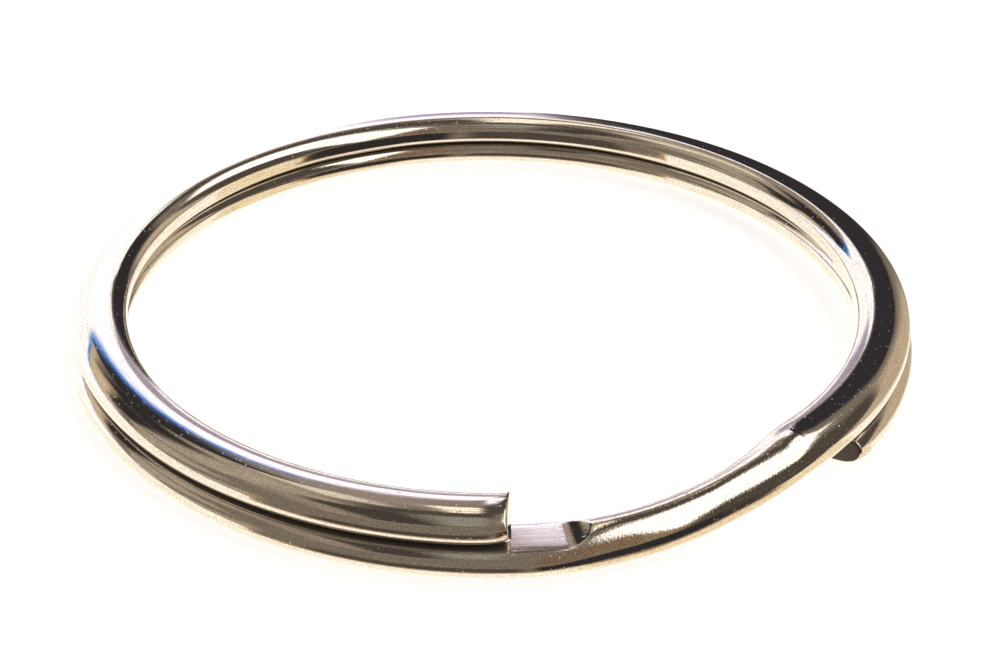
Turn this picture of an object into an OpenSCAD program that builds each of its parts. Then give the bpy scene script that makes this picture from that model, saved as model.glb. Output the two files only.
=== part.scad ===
// Split ring, as used for keys and tags.
//
// One length of round spring wire is wound in almost two turns, which are then
// pressed flat between dies. Pressing spreads the wire sideways and leaves a
// wide flat where the turns meet and a narrow land on the top and the bottom of
// the ring. The dies are relieved over the crank, a short stretch where the
// wire stays round and steps down from the upper turn to the lower one. At each
// end of the crank the edge of a die runs out of the wire in a half-moon stop,
// and the cut end of the other turn faces that stop across a small gap. The
// lower turn has sprung out a little further than the upper one.
//
// Frame: the origin is at the centre of the upper turn, on the surface the ring
// rests on, and +Z runs up the ring's axis. Angles are in degrees seen from
// above, anticlockwise from +X. Lengths are in millimetres.

/* [Ring] */
// outside diameter of the ring, over the upper turn
ring_od = 25; // [15:0.5:40]
// how far the lower turn stands out beyond the upper one
lower_out = 0.18; // [0:0.01:0.3]

/* [Wire and pressing] */
// diameter of the wire where it is still round
wire_d = 1.25; // [1:0.01:1.5]
// width of the wire where it is pressed
press_w = 1.6; // [1.5:0.05:1.9]
// radius of the pressed wire's inner and outer sides
side_r = 0.41; // [0.3:0.01:0.5]
// radius of the pressed wire's crowned top and bottom, before the flats
crown_r = 1.22; // [1:0.02:2]
// depth of the flat on the face where the two turns meet
mate_depth = 0.106; // [0.05:0.002:0.15]
// depth of the land on the top and the bottom of the ring
land_depth = 0.016; // [0.008:0.002:0.04]
// depth that the winding mandrel flattened off the inner wall
mandrel_depth = 0.03; // [0.01:0.005:0.05]
// clearance between the two turns
turn_gap = 0.04; // [0.02:0.01:0.1]

/* [Crank] */
// direction of the foot of the crank, where it meets the lower turn
foot_az = -84; // [-120:0.5:-60]
// angle from the foot of the crank to its top
crank_span = 38.5; // [32:0.5:50]
// reach of the tighter bend at the top of the crank
top_bend = 0.5; // [0.4:0.05:1.5]
// how far the dies' flats reach past the foot and the top of the crank
die_lap = 0.6; // [0.2:0.05:0.8]
// radius of the dies' edges, which the half-moon stops are pressed by
die_edge_r = 1.1; // [0.4:0.05:1.4]
// length over which the wire spreads from round to its pressed width
spread_run = 1.4; // [0.8:0.1:2]

/* [Cut ends] */
// angle from the upper cut end to the foot of the crank
upper_end_gap = 3.5; // [2:0.5:12]
// angle from the top of the crank to the lower cut end
lower_end_gap = 7; // [2:0.5:15]
// radius that the shear rolled on the edge of each cut end
end_edge_r = 0.12; // [0.05:0.01:0.2]

/* [Hidden] */
$fn = 96;

// steps in which the wire spreads, and in which a cut end's edge rolls over
spread_steps = 5;
edge_steps = 3;

wire_r = wire_d / 2;
crown_h = crown_r - sqrt(pow(crown_r - side_r, 2) - pow(press_w / 2 - side_r, 2));
mate_d = crown_h - mate_depth;
land_d = crown_h - land_depth;
turn_h = mate_d + land_d;
ring_h = 2 * turn_h + turn_gap;

// circles that the middle of the wire follows, and the radius of the mandrel
high_r = ring_od / 2 - press_w / 2;
low_r = high_r + lower_out;
bore_r = high_r - press_w / 2 + mandrel_depth;

low_z = land_d;
high_z = ring_h - land_d;

top_az = foot_az + crank_span;
upper_end_az = foot_az - upper_end_gap;
lower_end_az = top_az + lower_end_gap;

// Where two lengths of wire join, one is this much slimmer than the other and
// reaches this far into it, so that their skins never coincide.
slim = 0.003;
bury = 0.05;
// degrees round the ring for one millimetre along the middle of the wire
high_deg = 180 / (PI * high_r);
low_deg = 180 / (PI * low_r);

// The crank follows two arcs in space. Each leaves a turn along its tangent,
// and they meet in one direction at crank_join.
function on_ring(az, r, z) = [r * cos(az), r * sin(az), z];
function unit(v) = v / norm(v);
top_p = on_ring(top_az, high_r, high_z);
foot_p = on_ring(foot_az, low_r, low_z);
top_t = [sin(top_az), -cos(top_az), 0];
foot_t = [-sin(foot_az), cos(foot_az), 0];
drop = foot_p - top_p;
foot_bend = (drop * drop / 2 - top_bend * (drop * top_t))
  / (top_bend * (top_t * foot_t + 1) - drop * foot_t);
crank_join = (
  foot_bend * (top_p + top_bend * top_t)
  + top_bend * (foot_p + foot_bend * foot_t)
) / (top_bend + foot_bend);

// unit vector to an arc's centre, its radius and its sweep, from its end at p
// with tangent t to the join
function arc_in(p, t) =
  unit((crank_join - p) - ((crank_join - p) * t) * t);
function arc_r(p, t) =
  (crank_join - p) * (crank_join - p)
  / (2 * ((crank_join - p) * arc_in(p, t)));
function arc_sweep(p, t) =
  2 * atan2((crank_join - p) * arc_in(p, t), (crank_join - p) * t);

// Section of the wire, from pressed at s = 0 to round at s = 1, before any
// flats, and drawn in all round by inset.
module wire_section(s = 0, inset = 0) {
  half = press_w / 2 + (wire_r - press_w / 2) * s - inset;
  side = side_r + (wire_r - side_r) * s - inset;
  crown = crown_r + (wire_r - crown_r) * s - inset;
  reach = half - side;
  lift = sqrt(pow(crown - side, 2) - reach * reach);
  edge = reach * crown / (crown - side);
  union() {
    for (m = [-1, 1])
      translate([m * reach, 0])
        circle(r = side);
    intersection() {
      translate([0, -lift])
        circle(r = crown);
      translate([0, lift])
        circle(r = crown);
      translate([-edge, -crown])
        square([2 * edge, 2 * crown]);
    }
  }
}

// Wire at height z round a circle of radius r, from az over sweep degrees.
module wire(r, z, az, sweep, s = 0, inset = 0) {
  rotate_extrude(angle = sweep, start = az)
    translate([r, z])
      wire_section(s, inset);
}

// Round wire along part of one arc of the crank, whose end is at p with az and
// its tangent t there. Angles from and sweep run anticlockwise from p.
module bend(p, t, az, from, sweep, r) {
  x = -arc_in(p, t);
  y = [-sin(az), cos(az), 0];
  z = cross(x, y);
  c = p - arc_r(p, t) * x;
  multmatrix([
    [x[0], y[0], z[0], c[0]],
    [x[1], y[1], z[1], c[1]],
    [x[2], y[2], z[2], c[2]],
    [0, 0, 0, 1]
  ])
    rotate_extrude(angle = sweep, start = from)
      translate([arc_r(p, t), 0])
        circle(r = r);
}

// A flat die and its rounded edge, laid across the wire at az and z. The flat
// runs anticlockwise where dir is 1, and the die is above it where side is 1.
module die(r, z, az, dir, side) {
  rotate([0, 0, az])
    translate([r - press_w, 0, z + side * die_edge_r]) {
      rotate([0, 90, 0])
        cylinder(r = die_edge_r, h = 2 * press_w);
      translate([0, min(dir, 0) * 3 * press_w, -die_edge_r])
        cube([2 * press_w, 3 * press_w, 2 * die_edge_r]);
    }
}

// The crank: round wire, with a die's edge run out of it at each end.
module crank() {
  s1 = arc_sweep(top_p, top_t);
  s2 = arc_sweep(foot_p, foot_t);
  bury1 = bury / arc_r(top_p, top_t) * 180 / PI;
  bury2 = bury / arc_r(foot_p, foot_t) * 180 / PI;
  difference() {
    union() {
      bend(top_p, top_t, top_az, -s1 - bury1, s1 + 2 * bury1, wire_r - slim);
      bend(foot_p, foot_t, foot_az, -bury2, s2 + bury2, wire_r + slim);
    }
    die(low_r, turn_h, foot_az + die_lap * low_deg, -1, 1);
    die(high_r, ring_h - turn_h, top_az - die_lap * high_deg, 1, -1);
  }
}

// The stretch of a turn next to the crank, from az, where the wire spreads
// from round to pressed. dir is the way from the crank, 1 anticlockwise.
module spread(r, z, az, dir) {
  step = spread_run / spread_steps * 180 / (PI * r);
  over = bury * 180 / (PI * r);
  for (k = [0:spread_steps - 1])
    wire(
      r, z,
      az + dir * (k + (dir < 0 ? 1 : 0)) * step - over, step + 2 * over,
      1 - (k + 0.5) / spread_steps
    );
}

// The last of a turn at a cut end, with the edge that the shear rolled over.
// dir is the way the wire runs out there, 1 anticlockwise and -1 clockwise.
module cut_end(r, z, az, dir) {
  for (k = [0:edge_steps - 1]) {
    deep = (end_edge_r * (k + 1) / edge_steps + bury) * 180 / (PI * r);
    rise = end_edge_r * (k + 0.9) / edge_steps;
    inset = end_edge_r - sqrt(pow(end_edge_r, 2) - rise * rise);
    root = az - dir * (end_edge_r + bury) * 180 / (PI * r);
    wire(r, z, dir > 0 ? root : root - deep, deep, 0, inset);
  }
}

// The upper turn, from the top of the crank to the upper cut end.
module upper_turn() {
  from = top_az + spread_run * high_deg;
  to = 360 + upper_end_az - end_edge_r * high_deg;
  intersection() {
    union() {
      wire(high_r, high_z, from, to - from);
      spread(high_r, high_z, top_az, 1);
      cut_end(high_r, high_z, upper_end_az, 1);
    }
    translate([0, 0, ring_h - turn_h])
      cylinder(r = ring_od, h = ring_h);
  }
}

// The lower turn, from the lower cut end to the foot of the crank.
module lower_turn() {
  from = lower_end_az + end_edge_r * low_deg;
  to = 360 + foot_az - spread_run * low_deg;
  intersection() {
    union() {
      wire(low_r, low_z, from, to - from);
      spread(low_r, low_z, foot_az, -1);
      cut_end(low_r, low_z, lower_end_az, -1);
    }
    translate([0, 0, turn_h - ring_h])
      cylinder(r = ring_od, h = ring_h);
  }
}

// The space between the flat dies, round the mandrel.
module die_space() {
  difference() {
    cylinder(r = ring_od, h = ring_h);
    translate([0, 0, -1])
      cylinder(r = bore_r, h = ring_h + 2);
  }
}

module split_ring() {
  color([0.72, 0.70, 0.66])
    intersection() {
      union() {
        upper_turn();
        lower_turn();
        crank();
      }
      die_space();
    }
}

split_ring();
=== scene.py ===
# %% [markdown]
# # Split ring
# A key ring is one length of spring wire, wound in almost two turns and pressed flat between dies. This
# lesson builds its skin as one swept surface, gives it a nickel finish, and lights it as bright metal is
# lit: with a few large pale and dark areas for it to reflect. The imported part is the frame, and every size
# below is in millimetres until the mesh is made.

# %% Load the frame
import math

import bpy
import numpy as np
from mathutils import Matrix, Vector


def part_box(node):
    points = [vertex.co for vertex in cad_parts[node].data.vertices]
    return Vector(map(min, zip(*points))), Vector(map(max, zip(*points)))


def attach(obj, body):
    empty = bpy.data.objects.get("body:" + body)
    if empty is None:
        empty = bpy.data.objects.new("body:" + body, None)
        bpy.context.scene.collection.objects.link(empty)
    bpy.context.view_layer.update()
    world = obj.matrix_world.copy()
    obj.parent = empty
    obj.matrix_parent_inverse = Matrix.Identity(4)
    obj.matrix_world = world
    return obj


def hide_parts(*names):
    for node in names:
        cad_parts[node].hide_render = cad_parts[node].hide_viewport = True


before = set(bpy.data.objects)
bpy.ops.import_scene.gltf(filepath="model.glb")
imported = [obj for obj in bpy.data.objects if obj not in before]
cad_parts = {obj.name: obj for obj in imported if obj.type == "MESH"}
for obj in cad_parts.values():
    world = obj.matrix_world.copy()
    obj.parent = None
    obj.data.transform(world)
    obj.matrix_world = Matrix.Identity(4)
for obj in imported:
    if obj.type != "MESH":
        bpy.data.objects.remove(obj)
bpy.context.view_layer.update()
low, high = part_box("split_ring")
MM = 0.001
print("frame:", [round(v / MM, 3) for v in low], "to", [round(v / MM, 3) for v in high])

# %% [markdown]
# ## The wire and the two turns
# The wire starts round. Where the dies press it, it spreads into an oval with crowned faces: two small
# circles for its sides and two large ones for its crowns. The mating faces and the outer lands are flats
# cut across that oval. A curve with a bevel would be quicker to make, but it keeps one section all along,
# and this wire changes from round to pressed and back. So each section is worked out from a few sizes. The
# two turns are equally thick, so the height of the part gives where each one is.

# %% Sizes of the wire
WIRE_D = 1.25
PRESS_W = 1.60
SIDE_R = 0.41
CROWN_R = 1.22
LAND_DEPTH = 0.016
crown_h = CROWN_R - math.sqrt((CROWN_R - SIDE_R) ** 2 - (PRESS_W / 2 - SIDE_R) ** 2)
print(f"wire {WIRE_D} round, pressed {PRESS_W} wide with crowns {crown_h:.3f} from its middle")

# %% Places of the two turns
TURN_GAP = 0.04
LOWER_OUT = 0.18
MANDREL_DEPTH = 0.03
ring_h = high.z / MM
turn_h = (ring_h - TURN_GAP) / 2
low_z = crown_h - LAND_DEPTH
high_z = ring_h - low_z
low_r = high.x / MM - PRESS_W / 2
high_r = low_r - LOWER_OUT
bore_r = high_r - PRESS_W / 2 + MANDREL_DEPTH
print(f"ring {ring_h:.3f} high, turns {turn_h:.3f}, middles at r {high_r:.2f} and {low_r:.2f}")

# %% [markdown]
# ## Stations along the wire
# One angle runs along the whole wire, anticlockwise seen from above. It starts at the lower cut end, goes
# round the lower turn, up the crank and round the upper turn to the upper cut end. A section is made at each
# station along it. Even stations would be simple, but polished metal shows every flat, and fine steps all
# the way round would make a heavy mesh. So they are close only where the shape changes fast.

# %% Angles along the wire
LOWER_END = -38.5
FOOT = 276.0
TOP = 314.5
UPPER_END = 632.5


def arc_mm(degrees):
    """Length of an angle along the wire, between the middles of the two turns."""
    return np.radians(degrees) * (low_r + high_r) / 2


def ease(t):
    """Goes from 0 to 1 as t does, with a soft start and a soft end."""
    t = np.clip(t, 0, 1)
    return t * t * (3 - 2 * t)


print(f"{arc_mm(UPPER_END - LOWER_END):.1f} mm of wire, with {arc_mm(TOP - FOOT):.1f} in the crank")

# %% Stations
EDGE_DEG = 0.3
EDGE_STEPS = 8
rolled = EDGE_DEG * (1 - np.cos(np.linspace(0, math.pi / 2, EDGE_STEPS)))

# each stretch: where it starts, where it ends, and the step between its stations
STRETCHES = (
    (LOWER_END + EDGE_DEG, LOWER_END + 8, 0.25),
    (LOWER_END + 8, FOOT - 14, 1.25),
    (FOOT - 14, FOOT, 0.35),
    (FOOT, FOOT + 10, 0.12),
    (FOOT + 10, TOP - 8, 0.3),
    (TOP - 8, TOP + 2, 0.15),
    (TOP + 2, TOP + 14, 0.4),
    (TOP + 14, UPPER_END - 10, 1.25),
    (UPPER_END - 10, UPPER_END - EDGE_DEG, 0.2),
)


def run(start, end, step):
    """Evenly spaced stations from start up to, but without, end."""
    return np.linspace(start, end, max(2, round((end - start) / step)), endpoint=False)


stations = np.concatenate([
    LOWER_END + rolled[:-1],
    *[run(*stretch) for stretch in STRETCHES],
    UPPER_END - rolled[::-1],
])
print(len(stations), "stations")

# %% [markdown]
# ## The crank
# The crank takes the wire up from the lower turn to the upper one. A straight slope would put a kink at each
# end, which bent wire never has. Here the slope builds up evenly from the foot and runs off in the last
# millimetre, at the top. The middle of the wire also moves in from the lower turn's wider circle to the
# upper turn's.

# %% Middle of the wire
TOP_BEND = 1.0
crank_mm = arc_mm(TOP - FOOT)
slope_most = 2 * (high_z - low_z) / crank_mm
long_mm = crank_mm - TOP_BEND


def middle(phi):
    """Radius, height and slope of the wire's middle at an angle along the wire."""
    s = np.clip(arc_mm(phi - FOOT), 0, crank_mm)
    climb = low_z + slope_most * s**2 / (2 * long_mm)
    level = high_z - slope_most * (crank_mm - s) ** 2 / (2 * TOP_BEND)
    slope = slope_most * np.minimum(s / long_mm, (crank_mm - s) / TOP_BEND)
    radius = low_r + (high_r - low_r) * ease(s / crank_mm)
    return radius, np.where(s < long_mm, climb, level), slope


print(f"the crank climbs {high_z - low_z:.3f} with a slope of {slope_most:.3f} at most")

# %% Where the wire is round
ROUND_FROM = FOOT - 2
ROUND_TO = TOP - 1
SPREAD_MM = 2.5
CLOSE_MM = 3.1


def roundness(phi):
    """1 where the wire is still round and 0 where it is fully pressed."""
    return ease(arc_mm(phi - ROUND_FROM) / SPREAD_MM) * ease(arc_mm(ROUND_TO - phi) / CLOSE_MM)


print("halfway up the crank the roundness is", float(roundness((FOOT + TOP) / 2)))

# %% [markdown]
# ## The dies
# A die's flat presses the mating face. At the crank the die ends in a rounded edge, so the flat curves up
# out of the wire in a half-moon stop. The same die shape, turned over, presses the upper turn from below.
# Boolean cutters would make the same flats, but they break up the rows of the mesh and leave sharp edges.
# So a die is only a height that clips each section.

# %% Heights of the dies
DIE_LAP = 0.6
DIE_EDGE_R = 1.1
LAND_STEP = 0.13
LAND_START = TOP - 2
LAND_BLUR = 0.6


def die_lift(beyond):
    """How far a die's face has drawn back, at a distance beyond the end of its flat."""
    x = np.clip(beyond, 0, DIE_EDGE_R)
    return DIE_EDGE_R - math.sqrt(DIE_EDGE_R**2 - x**2)


def die_heights(phi):
    """The highest and the lowest that the wire may reach at an angle along it."""
    lap = math.degrees(DIE_LAP / high_r)
    top = turn_h + die_lift(arc_mm(phi - FOOT - lap))
    bottom = ring_h - turn_h - die_lift(arc_mm(TOP - lap - phi))
    land = ring_h + LAND_STEP * float(ease((LAND_START - phi) / LAND_BLUR))
    return min(top, land), max(bottom, 0)


print("die heights at the lower cut:", [round(float(z), 3) for z in die_heights(LOWER_END)])

# %% [markdown]
# ## The cut ends
# The wire was sheared off, so the skin rolls over in a small edge at each cut, and behind it the metal is
# dragged in, more on the outer side. A bevel modifier would round the edge alone. Here both are an inset,
# which the section takes off its radii.

# %% Inset beside a cut
FINE = 900
theta = np.linspace(0, 2 * math.pi, FINE, endpoint=False)
cos_t, sin_t = np.cos(theta), np.sin(theta)
END_EDGE = 0.05
END_DRAG = 0.14
DRAG_MM = 0.3

# how much of the drag the skin gets by the way it faces, in radians up from straight outwards
faces_up = np.arctan2(sin_t, cos_t)
STRONGEST = -0.5
STRONG_REACH = 1.4
STRONG_BLUR = 1.1
OUTER_REACH = 2.2
OUTER_BLUR = 0.8
WEAK_SHARE = 0.25
strong = ease((STRONG_REACH - np.abs(faces_up - STRONGEST)) / STRONG_BLUR)
drag_share = (WEAK_SHARE + (1 - WEAK_SHARE) * strong) * ease((OUTER_REACH - np.abs(faces_up)) / OUTER_BLUR)


def end_inset(phi):
    """How far the skin draws in near a cut end."""
    d = min(arc_mm(phi - LOWER_END), arc_mm(UPPER_END - phi))
    short = END_EDGE - min(d, END_EDGE)
    edge = END_EDGE - math.sqrt(END_EDGE**2 - short**2)
    return edge + END_DRAG * math.exp(-d / DRAG_MM) * drag_share


print("inset at a cut:", round(float(end_inset(LOWER_END).max()), 3))

# %% [markdown]
# ## One section of the wire
# A section is drawn by the direction its skin faces, so an inset is taken off exactly. It is clipped by the
# dies and by the mandrel, with soft corners where it meets them. Evenly spaced points would miss those
# corners, so the points are then spaced by length and by turning, and corners get the most of them.

# %% Section of the wire
CORNER = 0.02
TINY = 1e-9


def cap(a, b):
    """The lower of a and b, with a soft corner where they cross."""
    return (a + b - np.sqrt((a - b) ** 2 + CORNER**2)) / 2


def section(phi):
    """The outline of the wire at an angle along it, as points of radius and height."""
    radius, height, slope = middle(phi)
    g = float(roundness(phi))
    top, bottom = die_heights(phi)
    inset = end_inset(phi)
    half = PRESS_W / 2 + (WIRE_D - PRESS_W) / 2 * g
    side = SIDE_R + (WIRE_D / 2 - SIDE_R) * g
    crown = CROWN_R + (WIRE_D / 2 - CROWN_R) * g
    reach = max(half - side, 0)
    drop = math.sqrt(max((crown - side) ** 2 - reach**2, 0))
    on_side = np.abs(sin_t) * reach <= np.abs(cos_t) * drop + TINY
    x = np.where(on_side, np.sign(cos_t) * reach + (side - inset) * cos_t, (crown - inset) * cos_t)
    y = np.where(on_side, (side - inset) * sin_t, (crown - inset) * sin_t - np.sign(sin_t) * drop)
    z = height + y * math.hypot(1, slope)
    z = cap(z, top - inset)
    z = -cap(-z, -bottom - inset)
    r = -cap(-(radius + x), -bore_r - inset)
    return np.stack([r, z], 1)


widths = {name: np.ptp(section(phi)[:, 0]) for name, phi in (("pressed", 0), ("crank", (FOOT + TOP) / 2))}
print("section widths:", {name: round(float(width), 2) for name, width in widths.items()})

# %% Points of each section
AROUND = 96


def spaced(points):
    """The same outline in AROUND points, which are closest at its corners."""
    step = np.roll(points, -1, 0) - points
    length = np.hypot(step[:, 0], step[:, 1]) + TINY
    heading = np.unwrap(np.arctan2(step[:, 1], step[:, 0]))
    turning = np.abs(np.diff(np.append(heading, heading[0] + 2 * math.pi)))
    weight = np.cumsum(length / length.sum() + turning / turning.sum())
    place = np.interp(np.arange(AROUND) / AROUND, np.append(0, weight) / weight[-1], np.arange(FINE + 1))
    first = place.astype(int)
    share = (place - first)[:, None]
    closed = np.vstack([points, points[:1]])
    return closed[first] * (1 - share) + closed[first + 1] * share


sections = np.array([spaced(section(phi)) for phi in stations])
print("sections:", sections.shape)

# %% [markdown]
# ## The skin
# The sections are set round the axis and joined into one closed surface. They all have the same number of
# points, so plain rows of quads join them, with no seam that could show in a reflection. Each cut face is a
# few rings drawn in to its middle. The upper cut leans a little, as a sheared end does.

# %% Rings of the skin
FACE_RINGS = 5
SMALLEST = 0.04
CUT_LEAN = 1.0
LEAN_OVER = 4
LEAN_FORWARD = 0.4
across = np.linspace(1, SMALLEST, FACE_RINGS + 1)[1:]


def ring_points(points, phi):
    """A section set round the axis. The upper cut leans: its top outer corner is drawn back from its end."""
    lean = CUT_LEAN * float(ease((phi - UPPER_END + LEAN_OVER) / LEAN_OVER))
    outward = np.clip((points[:, 0] - high_r) / PRESS_W + 0.5, 0, 1)
    upward = np.clip((points[:, 1] - ring_h) / turn_h + 1, 0, 1)
    a = np.radians(phi + lean * (LEAN_FORWARD - outward * upward))
    return np.stack([points[:, 0] * np.cos(a), points[:, 0] * np.sin(a), points[:, 1]], 1)


def face_rings(points, phi):
    """Smaller and smaller copies of a section, which fill a cut face."""
    centre = points.mean(0)
    return [ring_points(centre + (points - centre) * k, phi) for k in across]


rings = face_rings(sections[0], stations[0])[::-1]
rings += [ring_points(s, phi) for s, phi in zip(sections, stations)]
rings += face_rings(sections[-1], stations[-1])
count = len(rings)
print(count, "rings of", AROUND, "points")

# %% Mesh of the wire
verts = np.concatenate(rings) * MM


def quad(i, j):
    """The face between two rings and two points, with its front outwards."""
    here, there, after = i * AROUND, (i + 1) * AROUND, (j + 1) % AROUND
    return here + j, there + j, there + after, here + after


faces = [quad(i, j) for i in range(count - 1) for j in range(AROUND)]
faces.append(tuple(range(AROUND)))
faces.append(tuple((count - 1) * AROUND + j for j in range(AROUND))[::-1])
mesh = bpy.data.meshes.new("nickel_wire")
mesh.from_pydata([tuple(v) for v in verts], [], faces)
mesh.validate()
mesh.update()
mesh.polygons.foreach_set("use_smooth", [True] * len(mesh.polygons))
ring = bpy.data.objects.new("nickel_wire", mesh)
bpy.context.scene.collection.objects.link(ring)
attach(ring, "root")
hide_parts("split_ring")
print("wire mesh:", len(mesh.vertices), "points")

# %% [markdown]
# ## Marks for the finish and for painted shade
# The finish changes from place to place: on a pressed flat, on an outer land, in the seam between the turns,
# on the crank and on the cut faces. It could be painted on an image, but that needs the skin unwrapped and
# looks coarse close up. So each point of the mesh carries marks, which the material reads by name: 1 where
# the skin is in such a place and 0 elsewhere, besides how far along the wire and round it the point lies.
# The seam and the cut faces also carry painted shade: the material paints the seam dark grey and the lower
# cut face nearly black. The upper cut face has only a share of its mark, because it is mostly bright.

# %% Marks along and round the wire
along = np.concatenate([
    np.full(FACE_RINGS, stations[0]),
    stations,
    np.full(FACE_RINGS, stations[-1]),
])


def mark(name, values):
    """Writes one number to each point of the mesh, under a name that the material reads."""
    layer = mesh.attributes.new(name, "FLOAT", "POINT")
    layer.data.foreach_set("value", np.asarray(values, np.float32))


mark("along", np.repeat(arc_mm(along - LOWER_END), AROUND))
mark("girth", np.tile(np.arange(AROUND) / AROUND, count))
print("marks on", len(along) * AROUND, "points")

# %% Marks on the flats and the lands
NEAR = 0.012
SLACK = 0.01
KEEP_OFF = 6
LAND_FADE = 2
z_mm = verts[:, 2] / MM
flat_top, flat_bottom = np.array([die_heights(phi) for phi in along]).repeat(AROUND, axis=0).T


def at_height(below):
    """1 on a face and 0 away from it, with a fade round NEAR, given how far below the face a point is."""
    return 1 - ease(below / NEAR - 0.5)


on_top = at_height(flat_top - z_mm)
on_bottom = at_height(z_mm - flat_bottom)
lower_part = np.repeat(along < TOP - KEEP_OFF, AROUND)
upper_part = np.repeat(along > FOOT + KEEP_OFF, AROUND)
lower_flat = on_top * lower_part * (flat_top < turn_h + SLACK)
upper_flat = on_bottom * upper_part * (flat_bottom > ring_h - turn_h - SLACK)
mark("pressed", np.maximum(lower_flat, upper_flat))
mark("land", at_height(ring_h - z_mm) * np.repeat(ease((along - LAND_START) / LAND_FADE), AROUND))
print("points on the pressed flats:", int((lower_flat + upper_flat > 0.5).sum()))

# %% Marks in the seam and on the crank
# the seam mark is for painted shade: it covers the mating faces where one turn lies on the other, which the
# material paints dark grey
SEAM_MM = 0.008
COVER_BLUR = 0.5
CRANK_IN = 4
CRANK_PAST = 4
CRANK_OUT = 6
one_turn = 360
covered_low = np.repeat(ease((UPPER_END - one_turn - along) / COVER_BLUR), AROUND)
covered_high = np.repeat(ease((along - LOWER_END - one_turn) / COVER_BLUR), AROUND)
seam_low = covered_low * lower_part * ease(2 - (turn_h - z_mm) / SEAM_MM)
seam_high = covered_high * upper_part * on_bottom
mark("seam", np.maximum(seam_low, seam_high))
crank = ease((along - FOOT) / CRANK_IN) * ease((TOP + CRANK_PAST - along) / CRANK_OUT)
mark("crank", np.repeat(crank, AROUND))
print("points in the seam:", int((seam_low + seam_high > 0.5).sum()))

# %% Marks on the cut faces
# the sheared mark is for painted shade: 1 on the lower cut face and the first rings of its rolled edge,
# which the material paints nearly black, and a quarter of that on the upper cut
ROLLED_RINGS = 3
UPPER_SHARE = 0.25
sheared = np.zeros(count)
sheared[:FACE_RINGS + ROLLED_RINGS] = 1
sheared[-FACE_RINGS - ROLLED_RINGS:] = UPPER_SHARE
mark("sheared", np.repeat(sheared, AROUND))
print("the lower cut face is dark, and the upper one is mostly bright")

# %% [markdown]
# ## Nickel
# Bright nickel is a warm, pale metal. It has lines along the wire from drawing, a fine mottle and a few
# specks, and the crank keeps small pits that the dies pressed out elsewhere. The pressed flats have a grain
# across them and a violet tint. The seam between the turns is painted dark grey and made rough, as painted
# shade, and the lower cut face is painted nearly black, as painted shade. A plain metal with one colour and
# one roughness would look too clean to be real. So noise and the marks drive the colour, the roughness and
# a very shallow bump.

# %% Material
nickel = bpy.data.materials.new("bright_nickel")
nickel.use_nodes = True
mesh.materials.append(nickel)
nodes, links = nickel.node_tree.nodes, nickel.node_tree.links
shader = nodes["Principled BSDF"]
shader.inputs["Metallic"].default_value = 1.0
print("material:", nickel.name)

# %% Helpers for nodes
# the colour sockets of a Mix node, which has a set of sockets for each kind of data
MIX_A = 6
MIX_B = 7
MIX_RESULT = 2


def node(kind, **settings):
    """Adds a node. A setting is one of its inputs, or else one of its properties."""
    n = nodes.new(kind)
    for name, value in settings.items():
        if name in n.inputs:
            n.inputs[name].default_value = value
        else:
            setattr(n, name, value)
    return n


def attribute(name):
    return node("ShaderNodeAttribute", attribute_name=name).outputs["Fac"]


def math_node(operation, a, b=None):
    n = node("ShaderNodeMath", operation=operation)
    for socket, value in zip(n.inputs, (a, b)):
        if value is None:
            continue
        if isinstance(value, (int, float)):
            socket.default_value = value
        else:
            links.new(value, socket)
    return n.outputs[0]


def times(first, *others):
    result = first
    for other in others:
        result = math_node("MULTIPLY", result, other)
    return result


def plus(first, *others):
    result = first
    for other in others:
        result = math_node("ADD", result, other)
    return result


def stretch(value, low_end, high_end):
    """0 up to low_end, 1 from high_end and even in between."""
    n = node("ShaderNodeMapRange")
    links.new(value, n.inputs["Value"])
    n.inputs["From Min"].default_value = low_end
    n.inputs["From Max"].default_value = high_end
    return n.outputs["Result"]


def mix(factor, a, b):
    n = node("ShaderNodeMix", data_type="RGBA")
    links.new(factor, n.inputs["Factor"])
    for socket, colour in ((n.inputs[MIX_A], a), (n.inputs[MIX_B], b)):
        if isinstance(colour, tuple):
            socket.default_value = (*colour, 1)
        else:
            links.new(colour, socket)
    return n.outputs[MIX_RESULT]


print("helpers: node, attribute, math_node, times, plus, stretch, mix")

# %% Lines, grain, pits and specks
position = node("ShaderNodeTexCoord").outputs["Object"]


def noise(scale, detail, rough=0.5, vector=None):
    n = node("ShaderNodeTexNoise", Scale=scale, Detail=detail, Roughness=rough)
    links.new(vector or position, n.inputs["Vector"])
    return n.outputs["Fac"]


def streaks(along_scale, girth_scale, detail):
    """Noise laid along the wire: a small first number draws it out into lines."""
    laid = node("ShaderNodeCombineXYZ")
    links.new(times(attribute("along"), along_scale), laid.inputs["X"])
    links.new(times(attribute("girth"), girth_scale), laid.inputs["Y"])
    return noise(scale=1.0, detail=detail, rough=0.6, vector=laid.outputs[0])


drawn = streaks(along_scale=0.7, girth_scale=66.0, detail=3.0)
lines = stretch(streaks(along_scale=0.12, girth_scale=150.0, detail=1.0), 0.60, 0.70)
grain = streaks(along_scale=40.0, girth_scale=150.0, detail=2.0)
pits = noise(scale=18000.0, detail=1.0)
mottle = noise(scale=21000.0, detail=1.0, rough=0.6)
specks = stretch(noise(scale=13000.0, detail=0.0), 0.77, 0.84)
print("six patterns of wear")

# %% Colour of the nickel
BRIGHT_NICKEL = (0.86, 0.825, 0.77)
DULL_NICKEL = (0.58, 0.53, 0.465)
LAND_GREY = (0.76, 0.72, 0.73)
PRESSED_PALE = (0.97, 0.92, 0.97)
PRESSED_DARK = (0.70, 0.62, 0.66)
PAINTED_SEAM_SHADE = (0.25, 0.24, 0.22)
PAINTED_CUT_SHADE = (0.08, 0.065, 0.06)
DRAWN_SHARE = 0.4
MOTTLE_SHARE = 0.6

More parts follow.
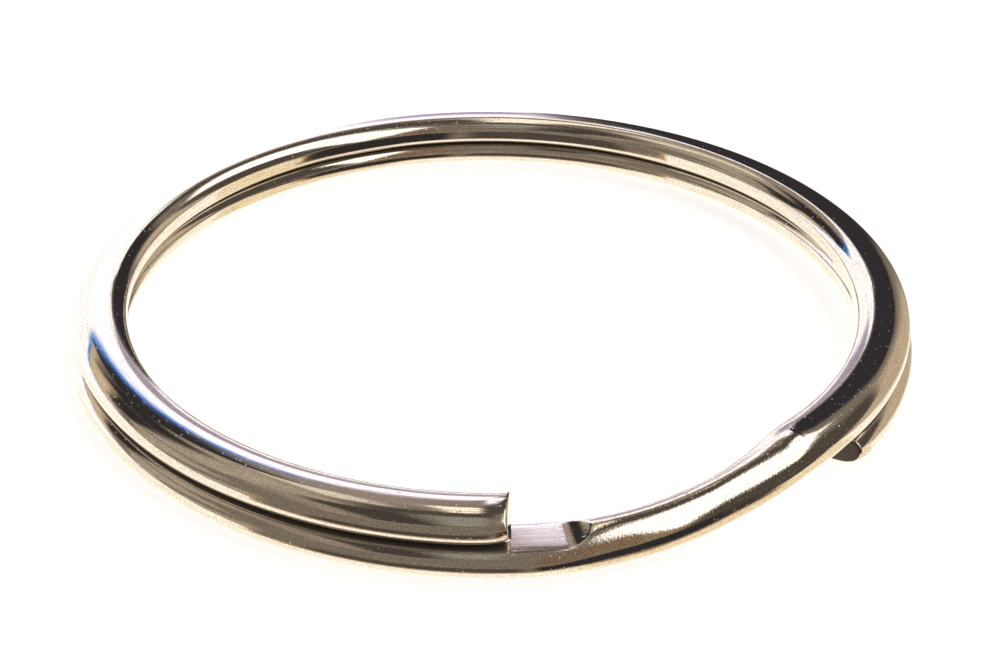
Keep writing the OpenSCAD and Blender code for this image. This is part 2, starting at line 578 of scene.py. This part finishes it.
tone = plus(times(drawn, DRAWN_SHARE), times(mottle, MOTTLE_SHARE))
tint = mix(stretch(tone, 0.36, 0.64), BRIGHT_NICKEL, DULL_NICKEL)
tint = mix(attribute("pressed"), tint, mix(stretch(grain, 0.35, 0.65), PRESSED_DARK, PRESSED_PALE))
tint = mix(attribute("land"), tint, LAND_GREY)
# painted shade in the seam between the turns: dark grey
tint = mix(attribute("seam"), tint, PAINTED_SEAM_SHADE)
# painted shade on the cut faces: the lower one nearly black, the upper one a quarter of the way there
tint = mix(attribute("sheared"), tint, PAINTED_CUT_SHADE)
links.new(tint, shader.inputs["Base Color"])
print("colour: nickel, pressed flats, lands, seam and cut faces")

# %% Roughness of the nickel
POLISH = 0.03
LAND_LIKE_FLAT = 0.15
flats = math_node("MAXIMUM", attribute("pressed"), times(attribute("land"), LAND_LIKE_FLAT))
ROUGHER = (
    (stretch(drawn, 0.3, 0.7), 0.05),
    (flats, 0.03),
    (attribute("seam"), 0.7),
    (attribute("sheared"), 0.2),
)
roughness_sum = plus(*[times(place, amount) for place, amount in ROUGHER], POLISH)
links.new(roughness_sum, shader.inputs["Roughness"])
print("roughness: at least", POLISH)

# %% Bump of the nickel
BUMP_MM = 0.01
BUMP_STRENGTH = 0.3
RELIEF = (
    (drawn, 0.25),
    (lines, -0.12),
    (specks, -0.8),
    (times(pits, attribute("crank")), 0.5),
    (times(grain, flats), 0.3),
)
relief = plus(*[times(pattern, amount) for pattern, amount in RELIEF])
bump = node("ShaderNodeBump", Strength=BUMP_STRENGTH, Distance=BUMP_MM * MM)
links.new(relief, bump.inputs["Height"])
links.new(bump.outputs["Normal"], shader.inputs["Normal"])
print("bump: a step of 1 is", BUMP_MM, "mm deep")

# %% [markdown]
# ## The studio
# Polished metal is mostly a picture of what stands round it. Lamps would give it hard glints, and a picture
# of a room would be one more file. So the world is painted here by direction, as a studio of cards with soft
# edges, and what the camera sees of it is white. A large soft light hangs overhead to the right. On the left
# and in front is a room of pale walls with dark doors and gloom between them, and on the right a darker
# room. Low behind is a white backdrop, with a bright gap over it and a blue rim on its left. A cream table
# lies below.
#
# Two angles give a direction. rise_angle goes from the camera's horizon at 0 over the zenith at 90 to the
# far horizon at 180, and side_angle from -90 on the left to 90 on the right.

# %% Angles of the studio
WRAP_BELOW = -120.0
world = bpy.data.worlds.new("studio")
bpy.context.scene.world = world
world.use_nodes = True
nodes, links = world.node_tree.nodes, world.node_tree.links
nodes.clear()
split = node("ShaderNodeSeparateXYZ")
links.new(node("ShaderNodeTexCoord").outputs["Generated"], split.inputs[0])
to_camera = times(split.outputs["Y"], -1.0)
side_angle = math_node("DEGREES", math_node("ARCSINE", split.outputs["X"]))
rise_angle = math_node("DEGREES", math_node("ARCTAN2", split.outputs["Z"], to_camera))
# below the far horizon the angle wraps round to the camera's side, so it is counted on past 180
rise_angle = plus(rise_angle, times(math_node("LESS_THAN", rise_angle, WRAP_BELOW), 360.0))
print("world:", world.name)

# %% Cards
def minus(a, b):
    return math_node("SUBTRACT", a, b)


def inverse(mask):
    return minus(1.0, mask)


def above(value, edge, blur):
    """1 where value is above edge and 0 below it, with a smooth change blur wide."""
    n = node("ShaderNodeMapRange", interpolation_type="SMOOTHSTEP")
    links.new(value, n.inputs["Value"])
    n.inputs["From Min"].default_value = edge - blur / 2
    n.inputs["From Max"].default_value = edge + blur / 2
    return n.outputs["Result"]


def between(value, start, end, blur):
    return minus(above(value, start, blur), above(value, end, blur))


def card(under, colour, rise, side, blur):
    """Paints one card: the angles it spans upwards and sideways, and how soft its edges are."""
    return mix(times(between(rise_angle, *rise, blur), between(side_angle, *side, blur)), under, colour)


def cards(under, colours_and_places):
    for one in colours_and_places:
        under = card(under, *one)
    return under


print("helpers: minus, inverse, above, between, card, cards")

# %% The room on the left and in front
ROOM = (0.25, 0.21, 0.165)
PALE_ROOM = (0.37, 0.30, 0.235)
WALL = (0.50, 0.42, 0.32)
SUNLIT_WALL = (0.80, 0.63, 0.42)
WINDOW = (0.95, 0.85, 0.70)
DARK_DOOR = (0.08, 0.067, 0.058)
DIM_DOOR = (0.19, 0.18, 0.155)
PALE_DOOR = (0.36, 0.34, 0.29)
SHADE = (0.10, 0.083, 0.07)
GLOOM = (0.038, 0.034, 0.036)

# each card: its colour, the rise and the side angles that it spans, and the blur of its edges
LEFT_CARDS = (
    (WALL, (-60, 118), (-200, -55), 8),
    (WALL, (94, 130), (-50, -17), 6),
    (GLOOM, (117, 134), (-56, -36), 7),
    (GLOOM, (117, 139), (-38, -25), 7),
    (SUNLIT_WALL, (134, 200), (-200, -37), 6),
    (SUNLIT_WALL, (143.5, 200), (-40, -27), 4),
    (ROOM, (-50, 68), (-53, -34), 8),
    (ROOM, (16, 52), (-85, -55), 10),
    (PALE_ROOM, (40, 97), (-36, -22), 6),
    (DARK_DOOR, (44, 97), (-24, -9), 5),
    (DIM_DOOR, (48, 96), (-10, 2), 4),
    (PALE_DOOR, (52, 99), (-7.5, 2), 5),
    (SHADE, (96, 107), (-14, 5), 4),
    (PALE_ROOM, (118, 150), (-12, 2), 6),
    (WINDOW, (110, 130), (-15.5, -9), 4),
    (GLOOM, (131, 170), (-27, -11), 5),
    (SHADE, (-42, -13), (-40, 8), 6),
)
sky = cards(ROOM, LEFT_CARDS)
print(len(LEFT_CARDS), "cards on the left and in front")

# %% The room on the right
BROWN = (0.26, 0.17, 0.115)
OCHRE = (0.33, 0.25, 0.15)
TAN = (0.66, 0.53, 0.37)

RIGHT_CARDS = (
    (BROWN, (-4, 56), (13, 40), 6),
    (SHADE, (-60, 138), (36, 200), 8),
    (OCHRE, (-7, 44), (34, 47), 6),
    (GLOOM, (-50, -11), (14, 57), 6),
    (SHADE, (106, 150), (-1, 12), 3),
    (ROOM, (132, 142), (17, 33), 5),
    (TAN, (138, 262), (34, 200), 9),
    (GLOOM, (141, 190), (3, 27), 5),
)
sky = cards(sky, RIGHT_CARDS)
print(len(RIGHT_CARDS), "cards on the right")

# %% The softbox
SOFTBOX = (1.9, 1.82, 1.68)

# the panel hangs askew: its lower and right edges lean, by so many degrees of rise to one sideways
LOWER_LEAN = 2.1
LOWER_START = 105
RIGHT_LEAN = 4.5
RIGHT_END = 253
PANEL_SIDES = (10.5, 45)
PANEL_TOP = 131
PANEL_BLUR = 4
LOWER_BLUR = 8
RIGHT_BLUR = 18
lower_edge = above(plus(rise_angle, times(side_angle, LOWER_LEAN)), LOWER_START, LOWER_BLUR)
right_edge = above(plus(rise_angle, times(side_angle, RIGHT_LEAN)), RIGHT_END, RIGHT_BLUR)
ends = between(side_angle, *PANEL_SIDES, PANEL_BLUR)
top_edge = above(rise_angle, PANEL_TOP, PANEL_BLUR)
sky = mix(times(lower_edge, inverse(right_edge), ends, inverse(top_edge)), sky, SOFTBOX)
print("softbox:", SOFTBOX)

# %% The backdrop
BRIGHT_GAP = (1.5, 1.33, 1.08)
BLUE_EDGE = (0.02, 0.26, 0.80)
BACKDROP = (1.45, 1.41, 1.44)
LILAC = (0.50, 0.42, 0.55)
MIRRORED_FLOOR = (0.33, 0.25, 0.20)

# the top edge of the backdrop is a step higher on the right, and sinks to the left up to a point
BACKDROP_TOP = 143.6
STEP_UP = -3.6
SINKS_FROM = 6.8
SINKS_FOR = 9.0
SINKS_BY = 0.42
left_of = times(side_angle, -1.0)
step_up = times(above(side_angle, 0.9, 0.9), STEP_UP)
sinking = math_node("MINIMUM", math_node("MAXIMUM", minus(left_of, SINKS_FROM), 0.0), SINKS_FOR)
past_edge = minus(rise_angle, plus(BACKDROP_TOP, step_up, times(sinking, SINKS_BY)))

# the blue rim lies along that edge on the left, and the backdrop ends a little right of the middle
RIM_START = -1.4
SHEET_START = 0.2
EDGE_BLUR = 1.2
RIM_ENDS = -7.5
SHEET_ENDS = 1.5
rim = times(above(past_edge, RIM_START, EDGE_BLUR), inverse(above(side_angle, RIM_ENDS, 4)))
sheet = times(above(past_edge, SHEET_START, EDGE_BLUR), inverse(above(side_angle, SHEET_ENDS, 2)))

sky = card(sky, MIRRORED_FLOOR, (134, 143), (-3, 1.5), 2)
sky = card(sky, BRIGHT_GAP, (107, 131), (-3.8, 0.4), 1.4)
sky = mix(rim, sky, BLUE_EDGE)
sky = mix(sheet, sky, BACKDROP)
sky = card(sky, BACKDROP, (140.4, 150), (0.9, 4.2), EDGE_BLUR)
sky = card(sky, LILAC, (157, 173), (-6, 2), 4)
print("backdrop from", BACKDROP_TOP, "degrees")

# %% The table
TABLE = (1.35, 1.25, 1.08)
TABLE_WARM = (1.15, 0.95, 0.64)
TABLE_EDGE = (0.58, 0.38, 0.18)
FAR_EDGE = 204
NEAR_EDGE = 45.0

# each step of the near edge: the angle it follows, where it comes, its blur, and how far the edge drops
NEAR_EDGE_STEPS = (
    (left_of, 54, 8, -27.0),
    (side_angle, 27, 8, 16.0),
    (side_angle, 58, 6, -24.0),
)
table_edge = NEAR_EDGE
for side, start, blur, step in NEAR_EDGE_STEPS:
    table_edge = plus(table_edge, times(above(side, start, blur), step))
past_table = minus(times(rise_angle, -1.0), table_edge)
edge_band = above(past_table, -2, 5)
table_top = above(past_table, 7, 8)
warm_side = above(side_angle, 20, 14)

sky = mix(above(rise_angle, FAR_EDGE, 16), sky, TABLE)
sky = mix(edge_band, sky, TABLE_EDGE)
sky = mix(table_top, sky, TABLE)
sky = mix(times(table_top, warm_side), sky, TABLE_WARM)
print("table from", FAR_EDGE, "degrees behind and", -NEAR_EDGE, "in front")

# %% What the camera sees of the studio
WHITE = (1.0, 1.0, 1.0)
from_camera = node("ShaderNodeLightPath").outputs["Is Camera Ray"]
backing = node("ShaderNodeBackground", Strength=1.0)
links.new(mix(from_camera, sky, WHITE), backing.inputs["Color"])
links.new(backing.outputs[0], node("ShaderNodeOutputWorld").inputs["Surface"])
print("the camera sees", WHITE)

# %% [markdown]
# ## The floor
# The ring lies on white paper, with a faint shadow under it. A floor lit up to white would need more light
# on the ring too. So the paper glows a little for the camera alone, which leaves the shadow, and the metal
# doesn't reflect it: it shows the studio's table instead.

# %% Floor
PAPER = (0.76, 0.78, 0.82)
PAPER_GLOW = 0.72
FLOOR_SIZE = 2.0
FLOOR_BELOW_MM = 0.01
bpy.ops.mesh.primitive_plane_add(size=FLOOR_SIZE, location=(0, 0, -FLOOR_BELOW_MM * MM))
floor = bpy.context.object
floor.name = "floor"
floor.visible_glossy = False
paper = bpy.data.materials.new("white_paper")
paper.use_nodes = True
floor.data.materials.append(paper)
nodes, links = paper.node_tree.nodes, paper.node_tree.links
matt = nodes["Principled BSDF"]
matt.inputs["Base Color"].default_value = (*PAPER, 1)
matt.inputs["Roughness"].default_value = 1.0
matt.inputs["Specular IOR Level"].default_value = 0.0
matt.inputs["Emission Color"].default_value = (*WHITE, 1)
from_camera = node("ShaderNodeLightPath").outputs["Is Camera Ray"]
links.new(times(from_camera, PAPER_GLOW), matt.inputs["Emission Strength"])
print("floor:", floor.name)

# %% [markdown]
# ## The camera
# The camera looks down at the near side of the ring from a hand's breadth away, with a normal lens. It could
# be aimed by a constraint, but its axes are written out here from two angles, which keeps it in plain sight
# how far it looks down and how little it is rolled.

# %% Camera
CAMERA_AT = Vector((0.26, -40.202, 23.887)) * MM
LOOK_DOWN = math.radians(31.317)
ROLL = math.radians(0.609)
SENSOR_MM = 36.0
LENS_MM = 54.13
camera_data = bpy.data.cameras.new("camera")
camera_data.sensor_width = SENSOR_MM
camera_data.lens = LENS_MM
camera_data.clip_start = MM
camera = bpy.data.objects.new("camera", camera_data)
bpy.context.scene.collection.objects.link(camera)
right = Vector((1, 0, 0))
up = Vector((0, math.sin(LOOK_DOWN), math.cos(LOOK_DOWN)))
back = Vector((0, -math.cos(LOOK_DOWN), math.sin(LOOK_DOWN)))
turned_right = right * math.cos(ROLL) + up * math.sin(ROLL)
turned_up = up * math.cos(ROLL) - right * math.sin(ROLL)
axes = Matrix((turned_right, turned_up, back)).transposed().to_4x4()
camera.matrix_world = Matrix.Translation(CAMERA_AT) @ axes
bpy.context.scene.camera = camera
bpy.context.scene.view_settings.view_transform = "Standard"
print("camera at", [round(v / MM, 1) for v in camera.location])
